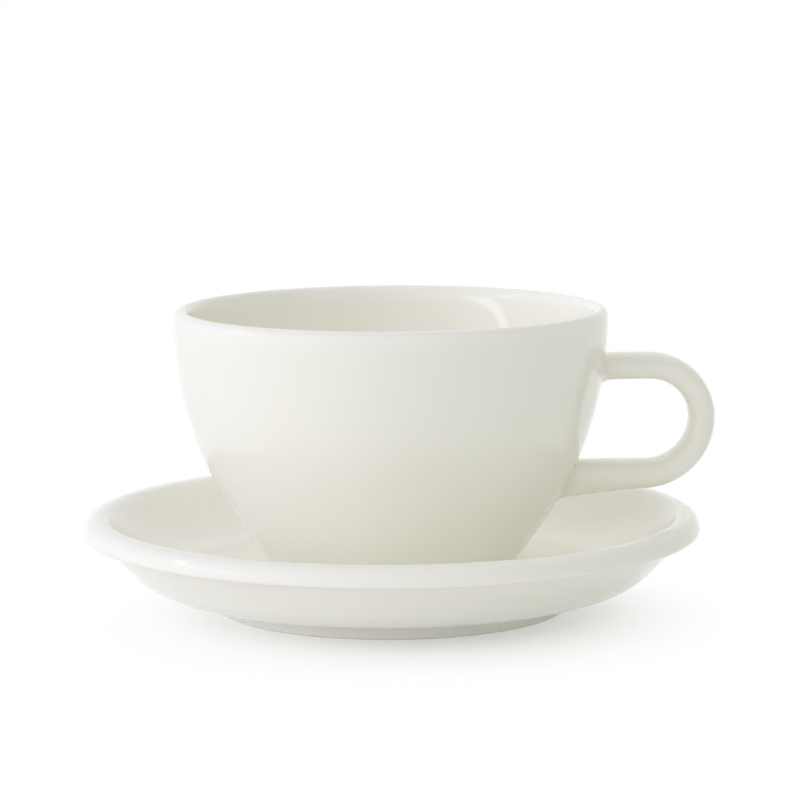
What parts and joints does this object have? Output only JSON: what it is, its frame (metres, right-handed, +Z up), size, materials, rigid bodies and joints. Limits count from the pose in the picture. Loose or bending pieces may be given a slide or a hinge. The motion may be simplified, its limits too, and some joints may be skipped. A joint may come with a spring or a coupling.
{
  "type": "latte cup and saucer",
  "caption": "Wide thick-walled porcelain latte cup with a loop handle, standing in the well of its lipped saucer; the cup lifts off.",
  "frame": {"origin": "centre of the saucer's foot ring, on the table", "axes": "+Z up along the axis of cup and saucer, +X towards the handle, +Y away from the picture's camera"},
  "size_m": [0.1537, 0.15, 0.0732],
  "materials": {
    "saucer_glaze": "glossy cream-white glaze over porcelain, bare clay on the foot ring",
    "cup_glaze": "glossy cream-white glaze over porcelain, bare clay on the foot ring"
  },
  "bodies": {
    "saucer": {"saucer": "saucer_glaze"},
    "cup": {"cup_bowl": "cup_glaze", "cup_handle": "cup_glaze", "upper_slip_joint": "cup_glaze", "lower_slip_joint": "cup_glaze"}
  },
  "joints": [
    {"name": "cup_lift", "type": "slide", "parent": "saucer", "child": "cup", "axis": [0, 0, 1], "range_m": [0, 0.12]}
  ]
}
